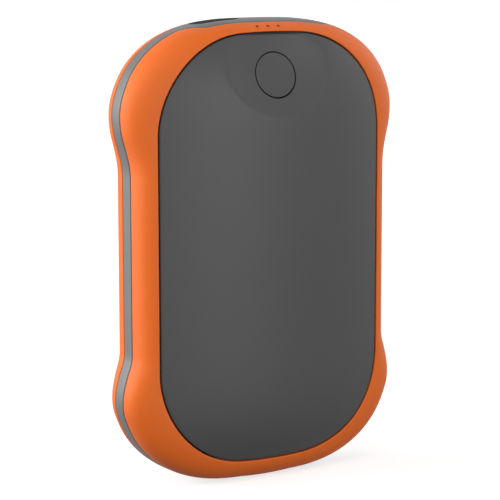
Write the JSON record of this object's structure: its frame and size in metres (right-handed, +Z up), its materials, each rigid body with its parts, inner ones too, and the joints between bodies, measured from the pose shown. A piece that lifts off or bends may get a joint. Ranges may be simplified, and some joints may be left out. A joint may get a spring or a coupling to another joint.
{
  "type": "rechargeable hand warmer",
  "caption": "Waisted rechargeable hand warmer: domed heat panels in soft orange frames around a grey mid frame, with a power button in a thumb scoop and a covered charging port.",
  "frame": {"origin": "middle of the base: the lowest line of the mid frame, halfway across the width and the depth", "axes": "+Z runs up the long side to the cap with the charging port, the panel with the power button faces -Y, and X is the width"},
  "size_m": [0.0796, 0.0284, 0.1185],
  "materials": {
    "hard_shell": "fine matte texture",
    "inner_plastic": "moulded, not seen",
    "soft_shell": "soft-touch matte",
    "heat_panel": "blasted and anodised, matte",
    "adhesive": "matte",
    "button_plastic": "matte, as the panel",
    "switch_plastic": "satin",
    "board": "solder resist",
    "plated_steel": "nickel plated",
    "cover_rubber": "matte",
    "clear_plastic": "frosted",
    "chip_plastic": "matte",
    "ferrite": "matte",
    "ceramic": "satin",
    "connector_plastic": "satin",
    "cell_wrap": "shrink sleeve over a can",
    "lead_sleeve": "satin",
    "heater_film": "polyimide film",
    "foam": "closed-cell foam"
  },
  "bodies": {
    "housing": {"mid_frame": "hard_shell", "front_chassis": "inner_plastic", "rear_chassis": "inner_plastic", "front_bumper": "soft_shell", "rear_bumper": "soft_shell", "front_panel": "heat_panel", "rear_panel": "heat_panel", "front_adhesive": "adhesive", "rear_adhesive": "adhesive", "switch_body": "switch_plastic", "circuit_board": "board", "usb_c_shell": "plated_steel", "usb_c_tongue": "switch_plastic", "light_guide": "clear_plastic", "led_chips": "clear_plastic", "charge_controller": "chip_plastic", "boost_inductor": "ferrite", "board_capacitors": "ceramic", "heater_connectors": "connector_plastic", "board_screws": "plated_steel", "housing_screws": "plated_steel", "cell_left": "cell_wrap", "cell_middle": "cell_wrap", "cell_right": "cell_wrap", "upper_cell_bracket": "connector_plastic", "lower_cell_bracket": "connector_plastic", "nickel_strips": "plated_steel", "battery_leads": "lead_sleeve", "front_heater": "heater_film", "rear_heater": "heater_film", "front_foam": "foam", "rear_foam": "foam", "thermistors": "ceramic"},
    "button": {"power_button": "button_plastic"},
    "plunger": {"switch_plunger": "switch_plastic"},
    "cover": {"port_cover": "cover_rubber"}
  },
  "joints": [
    {"name": "button_press", "type": "slide", "parent": "housing", "child": "button", "axis": [0, 0.9659, -0.2588], "range_m": [0, 0.00025], "stiffness_N_per_m": 400},
    {"name": "switch_travel", "type": "slide", "parent": "housing", "child": "plunger", "axis": [0, 1, 0], "range_m": [0, 0.00025]},
    {"name": "cover_hinge", "type": "hinge", "parent": "housing", "child": "cover", "pos_m": [-0.00503, 0, 0.11797], "axis": [0, 1, 0], "range_deg": [0, 110]}
  ],
  "couplings": [
    {"joint": "switch_travel", "follows": "button_press", "ratio": 0.966}
  ]
}
